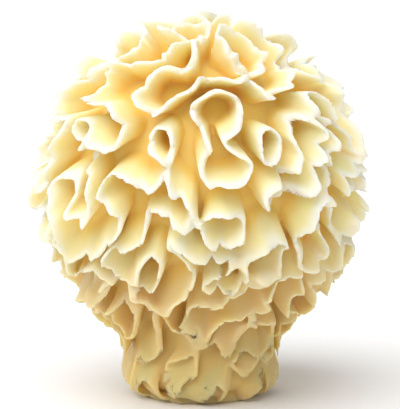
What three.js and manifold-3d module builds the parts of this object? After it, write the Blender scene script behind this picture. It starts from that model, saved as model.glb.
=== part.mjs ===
// A tremella mushroom (snow fungus), in millimetres, +Z up, standing on its cut foot.
// The fruiting body grew as one piece: a rounded heart on a short stem, and ruffled fronds
// that leave the heart square to its surface and fill the space up to a rounded skin.
// The fronds are closed sheets rooted inside the heart, and they are joined to it in one solid.
import * as THREE from "three";
import { mergeVertices } from "three/addons/utils/BufferGeometryUtils.js";
import Module from "manifold-3d";

// Driving sizes.
const BALL_CENTRE = 72; // height of the middle of the ball of fronds
const BALL_RADIUS = 59.5; // the skin that the frond tips reach
const HEART_RADIUS = 45; // solid flesh inside the ball
const NECK_ANGLE = THREE.MathUtils.degToRad(142); // from the top, where the ball turns into the stem
const STEM_RADIUS = 28; // where the lowest fronds reach
const STEM_HEART_RADIUS = 25.5;
const STEM_TOP = 17; // height at which the stem's side becomes upright
const FOOT_RADIUS = 19.5; // the flat cut face
const FOOT_CORNER = 8; // height of the rounding above it
const FROND_THICKNESS = 1.7;
const LEAN = THREE.MathUtils.degToRad(28); // fronds turn this far off the level, one way and the other
const ROOT_DEPTH = 4; // how far each frond starts inside the heart

const RING_PITCH = 15.5; // between rings of fronds, along the ball's skin
const FROND_PITCH = 26; // between fronds in a ring
const RIM_SHARE = 0.84; // of the pitch that a rim is wide
const ROOT_SHARE = 0.4; // of the rim's width that a root is wide
const RUFFLE = 2.8; // how far a rim waves to each side
const WAVES = 1.5; // waves along a rim

// The two rings of lower fronds on the neck, from the ball towards the foot.
const NECK_RINGS = [
  { along: 0.34, count: 9, rimWidth: 19, ruffle: 2.2 },
  { along: 0.8, count: 8, rimWidth: 14, ruffle: 1.2 },
];

// Counts of mesh cells.
const CELLS_ACROSS = 5;
const CELLS_UP = 1;
const HEART_SEGMENTS = 16;
const ARC_POINTS = 4;

const NECK_CHANNEL = 20; // first of the neck's series of shares
const UP = new THREE.Vector3(0, 0, 1);

// A repeatable share from 0 to 1 for frond number i, with a different series for each channel.
function share(i, channel) {
  const mixed = Math.sin((i + 1) * 12.9898 + (channel + 1) * 78.233) * 43758.5453;
  return mixed - Math.floor(mixed);
}

// Half of an upright section, from the top of the ball down to the cut face: three stretches,
// which are the ball's arc, the neck that runs into the stem, and the rounded foot.
function outline(ballRadius, stemRadius) {
  const path = new THREE.Path();
  path.absarc(0, BALL_CENTRE, ballRadius, Math.PI / 2, Math.PI / 2 - NECK_ANGLE, true);
  const neck = path.getPoint(1);
  const inward = Math.sin(NECK_ANGLE);
  const downward = Math.cos(NECK_ANGLE);
  const reach = (neck.y - STEM_TOP) * 0.5;
  path.bezierCurveTo(
    neck.x + downward * reach,
    neck.y - inward * reach,
    stemRadius,
    STEM_TOP + reach * 0.6,
    stemRadius,
    STEM_TOP,
  );
  path.lineTo(stemRadius, FOOT_CORNER);
  path.quadraticCurveTo(stemRadius, 0, FOOT_RADIUS, 0);
  return path.curves;
}

const SKIN = outline(BALL_RADIUS, STEM_RADIUS);
const HEART = outline(HEART_RADIUS, STEM_HEART_RADIUS);
const BALL_ARC = 0;
const NECK_CURVE = 1;

// The point at one azimuth on a stretch of an outline.
function pointAt(curves, stretch, along, azimuth) {
  const { x: radius, y: height } = curves[stretch].getPoint(along);
  return new THREE.Vector3(radius * Math.cos(azimuth), radius * Math.sin(azimuth), height);
}

function heartGeometry() {
  const profile = [];
  for (const curve of HEART) {
    const points = curve.getPoints(curve.isLineCurve ? 1 : ARC_POINTS);
    profile.push(...(profile.length ? points.slice(1) : points));
  }
  profile[0].x = 0; // the arc's first point sits on the axis
  profile.push(new THREE.Vector2(0, 0));
  // A lathe spins about Y, so the body is turned up onto Z.
  return new THREE.LatheGeometry(profile.reverse(), HEART_SEGMENTS).rotateX(Math.PI / 2);
}

// One frond: a narrow root that fans out to a ruffled, scalloped rim. The sheet is a grid, and its
// two faces lie half a thickness to each side of it.
function frondGeometry({ root, tip, turn, rimWidth, ruffle, phase }) {
  const outward = tip.clone().sub(root).normalize();
  const level = new THREE.Vector3().crossVectors(UP, outward);
  if (level.lengthSq() < 1e-4) level.set(1, 0, 0);
  const along = level.normalize().applyAxisAngle(outward, turn);
  const sideways = new THREE.Vector3().crossVectors(outward, along);
  const reach = tip.distanceTo(root) + ROOT_DEPTH;
  const start = root.clone().addScaledVector(outward, -ROOT_DEPTH);

  const onSheet = (u, v) => {
    const halfWidth = THREE.MathUtils.lerp(rimWidth * ROOT_SHARE, rimWidth, v * v) / 2;
    const shoulder = 1 - 0.2 * u * u - 0.04 * (1 + Math.cos(2 * WAVES * Math.PI * u + phase));
    const wave = ruffle * v * v * Math.sin(WAVES * Math.PI * u + phase);
    return start
      .clone()
      .addScaledVector(outward, reach * v * THREE.MathUtils.lerp(1, shoulder, v))
      .addScaledVector(along, halfWidth * u)
      .addScaledVector(sideways, wave);
  };
  const nudge = 1e-3;
  const faceNormal = (u, v) => {
    const across = onSheet(u + nudge, v).sub(onSheet(u - nudge, v));
    const upward = onSheet(u, v + nudge).sub(onSheet(u, v - nudge));
    return across.cross(upward).normalize();
  };

  const columns = CELLS_ACROSS + 1;
  const rows = CELLS_UP + 1;
  const positions = [];
  for (const side of [1, -1]) {
    for (let row = 0; row < rows; row++) {
      for (let column = 0; column < columns; column++) {
        const u = (2 * column) / CELLS_ACROSS - 1;
        const v = row / CELLS_UP;
        const thin = THREE.MathUtils.lerp(FROND_THICKNESS, FROND_THICKNESS * 0.7, v);
        onSheet(u, v)
          .addScaledVector(faceNormal(u, v), (side * thin) / 2)
          .toArray(positions, positions.length);
      }
    }
  }
  const at = (side, row, column) => (side * rows + row) * columns + column;
  const indices = [];
  const quad = (a, b, c, d) => indices.push(a, b, c, a, c, d);
  for (let row = 0; row < CELLS_UP; row++) {
    for (let column = 0; column < CELLS_ACROSS; column++) {
      const corners = [[row, column], [row, column + 1], [row + 1, column + 1], [row + 1, column]];
      quad(...corners.map(([r, c]) => at(0, r, c)));
      quad(...corners.reverse().map(([r, c]) => at(1, r, c)));
    }
    quad(at(0, row + 1, 0), at(1, row + 1, 0), at(1, row, 0), at(0, row, 0));
    quad(
      at(0, row, CELLS_ACROSS),
      at(1, row, CELLS_ACROSS),
      at(1, row + 1, CELLS_ACROSS),
      at(0, row + 1, CELLS_ACROSS),
    );
  }
  for (let column = 0; column < CELLS_ACROSS; column++) {
    quad(at(0, 0, column), at(1, 0, column), at(1, 0, column + 1), at(0, 0, column + 1));
    quad(
      at(0, CELLS_UP, column + 1),
      at(1, CELLS_UP, column + 1),
      at(1, CELLS_UP, column),
      at(0, CELLS_UP, column),
    );
  }
  return new THREE.BufferGeometry()
    .setAttribute("position", new THREE.Float32BufferAttribute(positions, 3))
    .setIndex(indices);
}

// A ring of fronds round one level of a stretch, leaning one way and the other off the level.
function ring({ stretch, along, count, rimWidth, ruffle, start, channel }) {
  return Array.from({ length: count }, (_, i) => {
    const azimuth = start + (2 * Math.PI * i) / count;
    return frondGeometry({
      root: pointAt(HEART, stretch, along, azimuth),
      tip: pointAt(SKIN, stretch, along, azimuth),
      turn: (i % 2 ? LEAN : -LEAN) + (share(i, channel) - 0.5) * LEAN,
      rimWidth,
      ruffle,
      phase: 2 * Math.PI * share(i, channel + 0.5),
    });
  });
}

// Rings from the crown of the ball down to the neck, a pitch apart.
function ballFronds() {
  const rings = Math.round((BALL_RADIUS * NECK_ANGLE) / RING_PITCH);
  return Array.from({ length: rings }, (_, i) => {
    const along = (i + 0.5) / rings;
    const round = 2 * Math.PI * BALL_RADIUS * Math.sin(along * NECK_ANGLE);
    return ring({
      stretch: BALL_ARC,
      along,
      count: Math.round(round / FROND_PITCH),
      rimWidth: FROND_PITCH * RIM_SHARE,
      ruffle: RUFFLE,
      start: i,
      channel: i,
    });
  }).flat();
}

// The neck carries lower fronds, which shrink towards the foot.
function neckFronds() {
  return NECK_RINGS.flatMap((size, i) =>
    ring({ ...size, stretch: NECK_CURVE, start: i / 2, channel: NECK_CHANNEL + i }),
  );
}

const wasm = await Module();
wasm.setup();

// A closed geometry as a solid that can be joined.
function solidOf(geometry) {
  for (const name of ["normal", "uv"]) geometry.deleteAttribute(name);
  const merged = mergeVertices(geometry, 1e-3);
  return new wasm.Manifold(
    new wasm.Mesh({
      numProp: 3,
      vertProperties: new Float32Array(merged.attributes.position.array),
      triVerts: new Uint32Array(merged.index.array),
    }),
  );
}

function geometryOf(solid) {
  const { numProp, numVert, vertProperties, triVerts } = solid.getMesh();
  const positions = new Float32Array(numVert * 3);
  for (let i = 0; i < numVert; i++) {
    positions.set(vertProperties.subarray(i * numProp, i * numProp + 3), i * 3);
  }
  return new THREE.BufferGeometry()
    .setAttribute("position", new THREE.BufferAttribute(positions, 3))
    .setIndex(new THREE.BufferAttribute(new Uint32Array(triVerts), 1));
}

const joined = [...ballFronds(), ...neckFronds()]
  .map(solidOf)
  .reduce((whole, frond) => whole.add(frond), solidOf(heartGeometry()));
// Where fronds cross they can seal off a pocket. Only the outer shell is kept, so flesh fills it.
const outerShell = joined.decompose().reduce((a, b) => (b.volume() > a.volume() ? b : a));

const geometry = geometryOf(outerShell);
geometry.computeBoundingBox();
const middle = geometry.boundingBox.getCenter(new THREE.Vector3());
geometry.translate(-middle.x, -middle.y, 0); // the origin is under the middle of the fronds
geometry.computeVertexNormals();

const flesh = new THREE.MeshStandardMaterial({ color: 0xead9a4, roughness: 0.45, metalness: 0 });
const fruitingBody = new THREE.Mesh(geometry, flesh);
fruitingBody.name = "fruiting_body";

const mushroom = new THREE.Group();
mushroom.add(fruitingBody);

export default mushroom;
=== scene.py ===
"""Looks of a tremella mushroom: one fruiting body of ruffled, translucent fronds on a cut stem.

The fronds are thin walls that wander over a rounded heart in a labyrinth, as the real fungus
grows: they stand between the heart and the skin, hang a little, ruffle towards their rims, and
end in lobes and scallops. One tree of fields makes the walls, the heart and the stem as one solid.
"""
import logging
import math
from dataclasses import dataclass
from enum import Enum
from typing import Iterable

import bmesh
import bpy
import numpy as np
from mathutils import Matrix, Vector


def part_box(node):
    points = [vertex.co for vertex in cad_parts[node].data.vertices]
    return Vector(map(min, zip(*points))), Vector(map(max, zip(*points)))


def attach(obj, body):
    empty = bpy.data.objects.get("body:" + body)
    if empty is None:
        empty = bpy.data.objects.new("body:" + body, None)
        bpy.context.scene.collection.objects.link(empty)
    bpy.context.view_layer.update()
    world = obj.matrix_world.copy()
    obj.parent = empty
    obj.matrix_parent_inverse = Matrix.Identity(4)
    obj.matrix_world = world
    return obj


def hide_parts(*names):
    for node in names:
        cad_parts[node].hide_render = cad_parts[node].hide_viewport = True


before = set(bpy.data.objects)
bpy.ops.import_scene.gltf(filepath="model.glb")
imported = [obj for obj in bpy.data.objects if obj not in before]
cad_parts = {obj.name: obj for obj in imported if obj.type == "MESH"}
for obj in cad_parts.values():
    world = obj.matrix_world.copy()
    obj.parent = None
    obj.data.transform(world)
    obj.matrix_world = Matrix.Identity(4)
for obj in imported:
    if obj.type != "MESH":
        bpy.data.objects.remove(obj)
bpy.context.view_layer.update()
CAD_NODE = "fruiting_body"
CAD_LOW, CAD_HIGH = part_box(CAD_NODE)

MM = 0.001
GOLDEN_TURN = math.pi * (3.0 - math.sqrt(5.0))  # spreads headings evenly over a ball
logging.basicConfig(level=logging.INFO, format="%(name)s: %(message)s")
LOG = logging.getLogger("mushroom")

Array = np.ndarray
Triple = tuple[float, float, float]
Colour = tuple[float, float, float, float]
Span = tuple[float, float]
Socket = bpy.types.NodeSocket | float | Triple
WHITE: Colour = (1.0, 1.0, 1.0, 1.0)
UP: Triple = (0.0, 0.0, 1.0)


def new_mesh(name: str, vertices: Array, faces: list[tuple[int, ...]]) -> bpy.types.Object:
    """A smooth mesh object at the origin.

    Args:
        name: the object's name.
        vertices: an (n, 3) array in metres.
        faces: tuples of vertex indices.

    Returns:
        The linked object.
    """
    mesh = bpy.data.meshes.new(name)
    mesh.from_pydata(vertices.tolist(), [], faces)
    mesh.polygons.foreach_set("use_smooth", np.ones(len(mesh.polygons), bool))
    mesh.update()
    piece = bpy.data.objects.new(name, mesh)
    bpy.context.scene.collection.objects.link(piece)
    return piece


class Light(Enum):
    """The soft lights of the studio: the place that each shines from, and its strength."""

    KEY = ((-0.35, -0.45, 1.0), 2.7)
    BACK = ((-0.2, 1.0, 0.5), 0.7)


@dataclass(frozen=True)
class JellyFlesh:
    """Translucent fungus jelly: pale at the thin rims (its own tone and a painted glow of light through them),
    golden in the folds (its own tone and painted shade), tan low on the stem (its own colour and painted shade).
    """

    name: str = "jelly_flesh_look"
    # Pale tone of the thin rims, lightened with a painted glow of light shining through them.
    rim: Colour = (0.92, 0.87, 0.72, 1.0)
    blade: Colour = (0.91, 0.78, 0.43, 1.0)
    # Golden tone deep in the folds, darkened and deepened with painted shade in the recesses.
    fold_gold_and_shade: Colour = (0.91, 0.66, 0.19, 1.0)
    # Tan of the stem, darkened with painted shade low on the body.
    stem: Colour = (0.72, 0.51, 0.19, 1.0)
    fold_gold_and_shade_share: float = 0.12
    blade_share: float = 0.62
    rim_share: float = 0.98
    blotch_scale: float = 60.0
    blotch_detail: float = 2.0
    blotch_size: float = 0.16
    grain_scale: float = 900.0
    grain_detail: float = 3.0
    grain_strength: float = 0.12
    grain_height: float = 0.25 * MM
    scatter: Triple = (1.0, 0.8, 0.45)
    scatter_depth: float = 4.0 * MM
    refraction: float = 1.36
    roughness: float = 0.45
    # Heights where the tan and painted shade low on the body begin and reach full strength, and how strong it gets.
    tan_and_shade_starts: float = 72.0 * MM
    tan_and_shade_full: float = 20.0 * MM
    tan_and_shade_share: float = 0.85

    def make(self) -> bpy.types.Material:
        """The node material.

        Returns:
            A material that reads the share attribute and Object coordinates.
        """
        material = bpy.data.materials.new(self.name)
        material.use_nodes = True
        nodes, links = material.node_tree.nodes, material.node_tree.links
        shader = nodes["Principled BSDF"]
        shader.inputs["Roughness"].default_value = self.roughness
        shader.inputs["IOR"].default_value = self.refraction
        shader.inputs["Subsurface Weight"].default_value = 1.0
        shader.inputs["Subsurface Radius"].default_value = self.scatter
        shader.inputs["Subsurface Scale"].default_value = self.scatter_depth
        place = nodes.new("ShaderNodeTexCoord").outputs["Object"]
        links.new(self.colour(material.node_tree, place), shader.inputs["Base Color"])
        bump = nodes.new("ShaderNodeBump")
        bump.inputs["Strength"].default_value = self.grain_strength
        bump.inputs["Distance"].default_value = self.grain_height
        grain = self.noise(material.node_tree, place, self.grain_scale, self.grain_detail)
        links.new(grain, bump.inputs["Height"])
        links.new(bump.outputs["Normal"], shader.inputs["Normal"])
        return material

    @staticmethod
    def noise(
        tree: bpy.types.NodeTree, place: bpy.types.NodeSocket, scale: float, detail: float
    ) -> bpy.types.NodeSocket:
        """Noise from 0 to 1."""
        node = tree.nodes.new("ShaderNodeTexNoise")
        node.inputs["Scale"].default_value = scale
        node.inputs["Detail"].default_value = detail
        tree.links.new(place, node.inputs["Vector"])
        return node.outputs["Fac"]

    def colour(self, tree: bpy.types.NodeTree, place: bpy.types.NodeSocket) -> bpy.types.NodeSocket:
        """The colour from the folds to the rims, a little blotched: painted shade in the folds and a painted glow
        at the rims over the flesh's own tone, which turns to tan with painted shade towards the foot.
        """
        nodes, links = tree.nodes, tree.links
        share = nodes.new("ShaderNodeAttribute")
        share.attribute_name = FruitingBody.SHARE
        spread = nodes.new("ShaderNodeMath")
        spread.operation = "MULTIPLY_ADD"
        spread.inputs[1].default_value = self.blotch_size
        spread.inputs[2].default_value = -self.blotch_size / 2.0
        links.new(self.noise(tree, place, self.blotch_scale, self.blotch_detail), spread.inputs[0])
        patchy = nodes.new("ShaderNodeMath")
        patchy.operation = "ADD"
        links.new(share.outputs["Fac"], patchy.inputs[0])
        links.new(spread.outputs[0], patchy.inputs[1])
        # The ramp runs from the folds' golden tone with painted shade to the rims' pale tone with a painted glow.
        ramp = nodes.new("ShaderNodeValToRGB")
        ramp.color_ramp.interpolation = "EASE"
        fold_gold_and_shade, rim = ramp.color_ramp.elements
        fold_gold_and_shade.position, fold_gold_and_shade.color = self.fold_gold_and_shade_share, self.fold_gold_and_shade
        rim.position, rim.color = self.rim_share, self.rim
        ramp.color_ramp.elements.new(self.blade_share).color = self.blade
        links.new(patchy.outputs[0], ramp.inputs["Fac"])
        split = nodes.new("ShaderNodeSeparateXYZ")
        links.new(place, split.inputs[0])
        # Darker towards the bottom: the stem's tan mixed with painted shade.
        low = nodes.new("ShaderNodeMapRange")
        low.interpolation_type = "SMOOTHSTEP"
        low.inputs["From Min"].default_value = self.tan_and_shade_starts
        low.inputs["From Max"].default_value = self.tan_and_shade_full
        low.inputs["To Max"].default_value = self.tan_and_shade_share
        links.new(split.outputs["Z"], low.inputs["Value"])
        tan_and_shade = nodes.new("ShaderNodeMix")
        tan_and_shade.data_type = "RGBA"
        tan_and_shade.inputs["B"].default_value = self.stem
        links.new(low.outputs["Result"], tan_and_shade.inputs["Factor"])
        links.new(ramp.outputs["Color"], tan_and_shade.inputs["A"])
        return tan_and_shade.outputs["Result"]


@dataclass
class Fields:
    """Short ways to write sums of fields in a node tree."""

    tree: bpy.types.NodeTree

    def feed(self, places: Iterable[bpy.types.NodeSocket], values: tuple[Socket, ...]) -> None:
        """Link or set sockets in order."""
        for place, value in zip(places, values):
            if isinstance(value, bpy.types.NodeSocket):
                self.tree.links.new(value, place)
            else:
                place.default_value = value

    def math(self, operation: str, *values: Socket) -> bpy.types.NodeSocket:
        """A Math node's result."""
        node = self.tree.nodes.new("ShaderNodeMath")
        node.operation = operation
        self.feed(node.inputs, values)
        return node.outputs[0]

    def vector(self, operation: str, *values: Socket) -> bpy.types.NodeSocket:
        """A Vector Math node's result: a number for DOT_PRODUCT and LENGTH, or else a vector."""
        node = self.tree.nodes.new("ShaderNodeVectorMath")
        node.operation = operation
        places = (node.inputs[0], node.inputs["Scale"]) if operation == "SCALE" else node.inputs
        self.feed(places, values)
        return node.outputs["Value" if operation in ("DOT_PRODUCT", "LENGTH") else "Vector"]

    def sum(self, *values: Socket) -> bpy.types.NodeSocket:
        """The sum of several numbers."""
        total = values[0]
        for value in values[1:]:
            total = self.math("ADD", total, value)
        return total

    def mix(self, share: Socket, low: Socket, high: Socket) -> bpy.types.NodeSocket:
        """A number between low and high."""
        return self.math("MULTIPLY_ADD", self.math("SUBTRACT", high, low), share, low)

    def ease(self, value: Socket, low: float, high: float) -> bpy.types.NodeSocket:
        """Eased share from 0 at low to 1 at high."""
        node = self.tree.nodes.new("ShaderNodeMapRange")
        node.interpolation_type = "SMOOTHSTEP"
        self.feed(node.inputs, (value, low, high))
        return node.outputs["Result"]

    def point(self, x: Socket, y: Socket, z: Socket) -> bpy.types.NodeSocket:
        """A vector from three numbers."""
        node = self.tree.nodes.new("ShaderNodeCombineXYZ")
        self.feed(node.inputs, (x, y, z))
        return node.outputs[0]

    def split(self, vector: Socket) -> tuple[bpy.types.NodeSocket, ...]:
        """A vector's three numbers."""
        node = self.tree.nodes.new("ShaderNodeSeparateXYZ")
        self.feed(node.inputs, (vector,))
        return tuple(node.outputs)

    def noise(self, place: Socket, length: float, seed: Socket) -> bpy.types.Node:
        """A noise node whose features are about one length apart."""
        node = self.tree.nodes.new("ShaderNodeTexNoise")
        node.noise_dimensions = "4D"
        self.tree.links.new(place, node.inputs["Vector"])
        self.tree.links.new(seed, node.inputs["W"])
        node.inputs["Scale"].default_value = 1.0 / length
        node.inputs["Detail"].default_value = 0.0
        return node

    def level(self, place: Socket, length: float, seed: Socket) -> bpy.types.NodeSocket:
        """Noise round zero, from about -0.3 to 0.3."""
        return self.math("SUBTRACT", self.noise(place, length, seed).outputs["Fac"], 0.5)

    def drift(self, place: Socket, length: float, seed: Socket, size: Socket) -> bpy.types.NodeSocket:
        """A vector that wanders round zero, scaled to a size."""
        colour = self.noise(place, length, seed).outputs["Color"]
        return self.vector("SCALE", self.vector("SUBTRACT", colour, (0.5, 0.5, 0.5)), size)


@dataclass
class LabyrinthTree:
    """Geometry Nodes tree of the whole body. Its fields work in millimetres.

    Waves of one length and many headings are summed over the skin. Where the sum is zero stands the
    middle of a frond, so the fronds wander and branch with an even gap between them. A Span holds
    the heights, or the noise levels, between which something changes.
    """

    ball_radius: float
    ball_centre: float
    material: bpy.types.Material
    frond_gap: float = 8.2
    frond_depth: float = 13.5
    stem_depth: float = 4.2
    rim_half: float = 0.52
    root_half: float = 1.6
    droop: float = 11.5
    wander: float = 9.0
    wander_length: float = 22.0
    ruffle: float = 8.0
    ruffle_length: float = 8.5
    rim_base: float = 0.57
    lobe_height: float = 0.95
    lobe_length: float = 10.0
    scallop_height: float = 0.2
    scallop_length: float = 3.4
    roundness: float = 0.6
    low_drop: float = 0.4
    low_length: float = 15.0
    low_levels: Span = (-0.10, -0.20)
    low_seed: float = 7.0
    least_rim: float = 0.3
    neck_blend: float = 11.0
    root_blend: float = 1.4
    stem_radius: float = 27.6
    foot_radius: float = 19.5
    foot_corner: float = 8.0
    core_top: float = 30.0
    middle_radius: float = 50.0
    stem_fades: Span = (30.0, 44.0)
    stem_fade_depth: float = 40.0
    deepening: Span = (15.0, 42.0)
    turning: Span = (14.0, 62.0)
    margin: float = 3.0
    voxel: float = 0.6
    draft_voxel: float = 1.0
    waves: int = 15
    heading_jitter: float = 0.3
    least_slope: float = 0.35
    seed: int = 3

    def socket(self, tree: bpy.types.NodeTree, name: str, kind: str) -> str:
        """Add a named input to the tree and return its identifier."""
        return tree.interface.new_socket(name=name, in_out="INPUT", socket_type=kind).identifier

    def make(self) -> tuple[bpy.types.NodeTree, dict[str, object]]:
        """Build the tree.

        Returns:
            The tree, and the value for each input by its identifier.
        """
        tree = bpy.data.node_groups.new("frond_labyrinth", "GeometryNodeTree")
        values = {
            self.socket(tree, "Frond Depth", "NodeSocketFloat"): self.frond_depth,
            self.socket(tree, "Rim Half Thickness", "NodeSocketFloat"): self.rim_half,
            self.socket(tree, "Root Half Thickness", "NodeSocketFloat"): self.root_half,
            self.socket(tree, "Droop", "NodeSocketFloat"): self.droop,
            self.socket(tree, "Seed", "NodeSocketFloat"): float(self.seed),
            self.socket(tree, "Flesh", "NodeSocketMaterial"): self.material,
        }
        tree.interface.new_socket(name="Body", in_out="OUTPUT", socket_type="NodeSocketGeometry")
        nodes, links = tree.nodes, tree.links
        inputs, outputs = nodes.new("NodeGroupInput"), nodes.new("NodeGroupOutput")
        density, share = self.fields(Fields(tree), inputs.outputs)
        cube = nodes.new("GeometryNodeVolumeCube")
        half, top = self.ball_radius + self.margin, self.ball_centre + self.ball_radius + self.margin
        voxel = self.voxel
        cube.inputs["Background"].default_value = -1.0
        cube.inputs["Min"].default_value = (-half, -half, -self.margin)
        cube.inputs["Max"].default_value = (half, half, top)
        for axis, span in zip("XYZ", (2 * half, 2 * half, top + self.margin)):
            cube.inputs[f"Resolution {axis}"].default_value = round(span / voxel)
        links.new(density, cube.inputs["Density"])
        skin = nodes.new("GeometryNodeVolumeToMesh")
        skin.inputs["Threshold"].default_value = 0.0
        links.new(cube.outputs["Volume"], skin.inputs["Volume"])
        marked = nodes.new("GeometryNodeStoreNamedAttribute")
        marked.data_type, marked.domain = "FLOAT", "POINT"
        marked.inputs["Name"].default_value = FruitingBody.SHARE
        links.new(skin.outputs["Mesh"], marked.inputs["Geometry"])
        links.new(share, marked.inputs["Value"])
        sized = nodes.new("GeometryNodeTransform")
        sized.inputs["Scale"].default_value = (MM, MM, MM)
        links.new(marked.outputs["Geometry"], sized.inputs["Geometry"])
        smooth = nodes.new("GeometryNodeSetShadeSmooth")
        links.new(sized.outputs["Geometry"], smooth.inputs["Geometry"])
        real = nodes.new("GeometryNodeRealizeInstances")
        links.new(smooth.outputs["Geometry"], real.inputs["Geometry"])
        dressed = nodes.new("GeometryNodeSetMaterial")
        links.new(real.outputs["Geometry"], dressed.inputs["Geometry"])
        links.new(inputs.outputs["Flesh"], dressed.inputs["Material"])
        links.new(dressed.outputs["Geometry"], outputs.inputs["Body"])
        return tree, values

    def depth(self, f: Fields, place: Socket, across: Socket, z: Socket) -> bpy.types.NodeSocket:
        """Depth below the skin: the deeper of the ball and the stem, with a soft neck between them."""
        from_centre = f.vector("SUBTRACT", place, (0.0, 0.0, self.ball_centre))
        ball = f.math("SUBTRACT", self.ball_radius, f.vector("LENGTH", from_centre))
        beyond_foot = f.math("MAXIMUM", f.math("SUBTRACT", across, self.foot_radius), 0.0)
        below_corner = f.math("MAXIMUM", f.math("SUBTRACT", self.foot_corner, z), 0.0)
        bend = f.vector("LENGTH", f.point(beyond_foot, below_corner, 0.0))
        faded = f.math("MULTIPLY", f.ease(z, *self.stem_fades), self.stem_fade_depth)
        stem = f.math("SUBTRACT", f.math("SUBTRACT", self.foot_corner, bend), faded)
        return f.math("SMOOTH_MAX", ball, stem, self.neck_blend)

    def from_frond(self, f: Fields, bent: Socket, outward: Socket) -> bpy.types.NodeSocket:
        """Distance along the middle skin to the middle of the nearest frond.

        Args:
            f: writes the nodes.
            bent: the place on the middle skin, with the fronds' wander and ruffle.
            outward: the direction square to the skin.

        Returns:
            The size of the waves' sum over its steepness.
        """
        random = np.random.default_rng(self.seed)
        number = math.pi * self.ball_radius / (self.frond_gap * self.middle_radius)
        total, slope = 0.0, (0.0, 0.0, 0.0)
        for wave in range(self.waves):
            height = 1.0 - (2.0 * wave + 1.0) / self.waves
            turn = wave * GOLDEN_TURN + random.uniform(-self.heading_jitter, self.heading_jitter)
            start = random.uniform(0.0, 2.0 * math.pi)
            flat = math.sqrt(1.0 - height * height)
            heading = (number * flat * math.cos(turn), number * flat * math.sin(turn), number * height)
            phase = f.math("ADD", f.vector("DOT_PRODUCT", bent, heading), start)
            total = f.math("ADD", total, f.math("COSINE", phase))
            slope = f.vector("ADD", slope, f.vector("SCALE", heading, f.math("SINE", phase)))
        square = f.vector("SCALE", outward, f.vector("DOT_PRODUCT", slope, outward))
        steep = f.vector("LENGTH", f.vector("SUBTRACT", slope, square))
        steep = f.math("MAXIMUM", steep, self.least_slope * number)
        return f.math("DIVIDE", f.math("ABSOLUTE", total), steep)

    def rim(self, f: Fields, on_skin: Socket, seed: Socket) -> bpy.types.NodeSocket:
        """How far out the rims reach: round lobes, small scallops with notches, and low stretches."""
        lobes, scallops = (
            f.math("POWER", f.math("ABSOLUTE", f.level(on_skin, length, seed)), self.roundness)
            for length in (self.lobe_length, self.scallop_length)
        )
        low = f.level(on_skin, self.low_length, f.math("ADD", seed, self.low_seed))
        rim = f.sum(
            self.rim_base,
            f.math("MULTIPLY", lobes, self.lobe_height),
            f.math("MULTIPLY", scallops, self.scallop_height),
            f.math("MULTIPLY", f.ease(low, *self.low_levels), -self.low_drop),
        )
        return f.math("MINIMUM", rim, 1.0)

    def fields(self, f: Fields, inputs: bpy.types.NodeOutputs) -> tuple[bpy.types.NodeSocket, ...]:
        """The body's fields.

        Args:
            f: writes the nodes.
            inputs: the tree's named inputs.

        Returns:
            How deep a place lies in the flesh, and its share of the way from root to rim.
        """
        seed = inputs["Seed"]
        place = f.tree.nodes.new("GeometryNodeInputPosition").outputs[0]
        x, y, z = f.split(place)
        across = f.vector("LENGTH", f.point(x, y, 0.0))
        room = f.mix(f.ease(z, *self.deepening), self.stem_depth, inputs["Frond Depth"])
        reach = f.math("SUBTRACT", 1.0, f.math("DIVIDE", self.depth(f, place, across, z), room))
        past_root = f.math("MAXIMUM", reach, 0.0)
        # The line that the fronds stand square to: the ball's centre, or the stem's axis.
        rise = f.ease(z, *self.turning)
        middle = f.point(0.0, 0.0, f.mix(rise, z, self.ball_centre))
        outward = f.vector("NORMALIZE", f.vector("SUBTRACT", place, middle))
        climb = f.vector("SUBTRACT", UP, f.vector("SCALE", outward, f.split(outward)[2]))
        # A frond hangs, so each place on it belongs to a root that is higher up.
        raised = f.vector("ADD", place, f.vector("SCALE", climb, f.math("MULTIPLY", past_root, inputs["Droop"])))
        outward = f.vector("NORMALIZE", f.vector("SUBTRACT", raised, middle))
        radius = f.mix(rise, self.stem_radius, self.middle_radius)
        on_skin = f.vector("ADD", f.vector("SCALE", outward, radius), middle)
        ruffle = f.math("MULTIPLY", past_root, self.ruffle)
        bent = f.vector("ADD", on_skin, f.drift(on_skin, self.wander_length, seed, self.wander))
        bent = f.vector("ADD", bent, f.drift(on_skin, self.ruffle_length, seed, ruffle))
        spread = f.math("DIVIDE", f.vector("LENGTH", f.vector("SUBTRACT", place, middle)), radius)
        away = f.math("MULTIPLY", self.from_frond(f, bent, outward), spread)
        rim = self.rim(f, on_skin, seed)
        inside = f.math("MAXIMUM", f.math("MINIMUM", reach, 1.0), 0.0)
        half = f.mix(inside, inputs["Root Half Thickness"], inputs["Rim Half Thickness"])
        below_rim = f.math("MULTIPLY", f.math("SUBTRACT", rim, reach), room)
        wall = f.math("MINIMUM", f.math("SUBTRACT", half, away), below_rim)
        heart = f.math("MULTIPLY", reach, f.math("MULTIPLY", room, -1.0))
        core = f.math("MINIMUM", f.math("SUBTRACT", self.foot_radius, across), f.math("SUBTRACT", self.core_top, z))
        flesh = f.math("SMOOTH_MAX", wall, f.math("MAXIMUM", heart, core), self.root_blend)
        share = f.math("DIVIDE", inside, f.math("MAXIMUM", rim, self.least_rim))
        return f.math("MINIMUM", flesh, z), share


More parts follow.
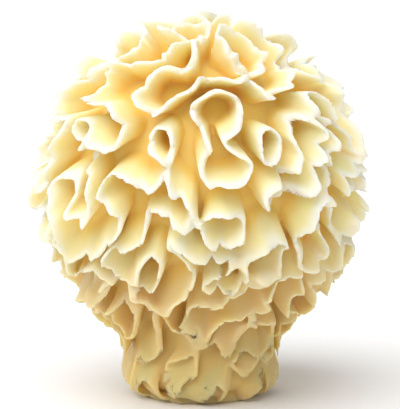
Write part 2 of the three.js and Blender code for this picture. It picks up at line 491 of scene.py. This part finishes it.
@dataclass
class FruitingBody:
    """The whole mushroom: heart, stem and fronds in one closed skin."""

    SHARE = "rim_share"

    name: str = "ruffled_body"
    inset: float = 0.3 * MM
    triangles: int = 190000

    @staticmethod
    def baked(piece: bpy.types.Object, name: str) -> bpy.types.Object:
        """A new plain object that holds another one's mesh with its modifiers applied."""
        evaluated = piece.evaluated_get(bpy.context.evaluated_depsgraph_get())
        mesh = bpy.data.meshes.new_from_object(evaluated)
        mesh.name = name
        made = bpy.data.objects.new(name, mesh)
        bpy.context.scene.collection.objects.link(made)
        return made

    @staticmethod
    def keep_outer_skin(mesh: bpy.types.Mesh) -> None:
        """Remove every part of a mesh but its largest, such as the walls of sealed bubbles."""
        edges = np.empty(len(mesh.edges) * 2, np.int32)
        mesh.edges.foreach_get("vertices", edges)
        start, end = edges.reshape(-1, 2).T
        label = np.arange(len(mesh.vertices))
        while True:
            least = np.minimum(label[start], label[end])
            new = label.copy()
            np.minimum.at(new, start, least)
            np.minimum.at(new, end, least)
            new = new[new]
            if (new == label).all():
                break
            label = new
        names, sizes = np.unique(label, return_counts=True)
        keep = label == names[sizes.argmax()]
        LOG.info("%d separate skins, %d points dropped", len(names), (~keep).sum())
        work = bmesh.new()
        work.from_mesh(mesh)
        bmesh.ops.delete(work, geom=[v for v, kept in zip(work.verts, keep) if not kept], context="VERTS")
        work.to_mesh(mesh)
        work.free()

    def build(self) -> bpy.types.Object:
        """Make the body from its fields, thin it to the triangle budget, and keep its outer skin.

        Returns:
            The finished piece, at the origin, with its material.
        """
        radius = (CAD_HIGH.x - CAD_LOW.x) / 2 - self.inset
        centre = CAD_HIGH.z - self.inset - radius
        tree, values = LabyrinthTree(radius / MM, centre / MM, JellyFlesh().make()).make()
        seedling = new_mesh("seedling", np.zeros((1, 3)), [])
        modifier = seedling.modifiers.new("grow", "NODES")
        modifier.node_group = tree
        for identifier, value in values.items():
            modifier[identifier] = value
        grown = self.baked(seedling, "grown")
        grown.data.calc_loop_triangles()
        total = len(grown.data.loop_triangles)
        LOG.info("%d triangles in the grown skin", total)
        grown.modifiers.new("thin", "DECIMATE").ratio = min(1.0, self.triangles / total)
        piece = self.baked(grown, self.name)
        for scaffold in (seedling, grown):
            bpy.data.objects.remove(scaffold)
        bpy.data.node_groups.remove(tree)
        self.keep_outer_skin(piece.data)
        piece.data.calc_loop_triangles()
        LOG.info("%s: %d triangles", self.name, len(piece.data.loop_triangles))
        return piece


@dataclass
class Studio:
    """Pale floor, soft light and the camera."""

    elevation: float = math.radians(8.0)
    distance: float = 0.9
    view_height: float = 138.2 * MM
    aim_height: float = 64.7 * MM
    sensor: float = 36.0
    far_clip: float = 50.0
    floor_half: float = 6.0
    floor_colour: Colour = (0.92, 0.92, 0.92, 1.0)
    floor_roughness: float = 0.9
    ambient: float = 0.42
    softness: float = math.radians(70.0)

    def camera(self) -> bpy.types.Object:
        """A long-lens camera in front of the mushroom, a little above its middle."""
        data = bpy.data.cameras.new("camera")
        data.sensor_width = self.sensor
        data.lens = self.sensor * self.distance / self.view_height
        data.clip_end = self.far_clip
        camera = bpy.data.objects.new("camera", data)
        bpy.context.scene.collection.objects.link(camera)
        aim = Vector((0.0, 0.0, self.aim_height))
        offset = Vector((0.0, -math.cos(self.elevation), math.sin(self.elevation))) * self.distance
        camera.location = aim + offset
        camera.rotation_euler = (-offset).to_track_quat("-Z", "Y").to_euler()
        bpy.context.scene.camera = camera
        return camera

    def floor(self) -> bpy.types.Object:
        """A plain pale floor."""
        corners = np.array([[-1, -1, 0], [1, -1, 0], [1, 1, 0], [-1, 1, 0]], float)
        floor = new_mesh("floor", corners * self.floor_half, [(0, 1, 2, 3)])
        material = bpy.data.materials.new("pale_floor")
        material.use_nodes = True
        shader = material.node_tree.nodes["Principled BSDF"]
        shader.inputs["Base Color"].default_value = self.floor_colour
        shader.inputs["Roughness"].default_value = self.floor_roughness
        floor.data.materials.append(material)
        return floor

    def soft_sun(self, light: Light) -> None:
        """One wide, even light that shines from its place towards the mushroom."""
        place, power = light.value
        name = light.name.lower()
        data = bpy.data.lights.new(name, "SUN")
        data.angle, data.energy = self.softness, power
        sun = bpy.data.objects.new(name, data)
        sun.location = place
        sun.rotation_euler = (-Vector(place)).to_track_quat("-Z", "Y").to_euler()
        bpy.context.scene.collection.objects.link(sun)

    def surroundings(self) -> None:
        """A white backdrop that lights the mushroom more dimly than it looks."""
        world = bpy.data.worlds.new("studio")
        world.use_nodes = True
        nodes, links = world.node_tree.nodes, world.node_tree.links
        lighting, output = nodes["Background"], nodes["World Output"]
        lighting.inputs["Color"].default_value = WHITE
        lighting.inputs["Strength"].default_value = self.ambient
        backdrop = nodes.new("ShaderNodeBackground")
        backdrop.inputs["Color"].default_value = WHITE
        path, mix = nodes.new("ShaderNodeLightPath"), nodes.new("ShaderNodeMixShader")
        links.new(path.outputs["Is Camera Ray"], mix.inputs["Fac"])
        links.new(lighting.outputs["Background"], mix.inputs[1])
        links.new(backdrop.outputs["Background"], mix.inputs[2])
        links.new(mix.outputs["Shader"], output.inputs["Surface"])
        bpy.context.scene.world = world

    def build(self) -> None:
        """Set the floor, the lights, the surroundings and the camera."""
        self.floor()
        for light in Light:
            self.soft_sun(light)
        self.surroundings()
        bpy.context.scene.view_settings.view_transform = "Standard"
        self.camera()


def main() -> None:
    """Build the mushroom and the studio, and tie the piece to the frame."""
    body = FruitingBody().build()
    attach(body, "root")
    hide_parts(CAD_NODE)
    Studio().build()


if __name__ == "__main__":
    main()
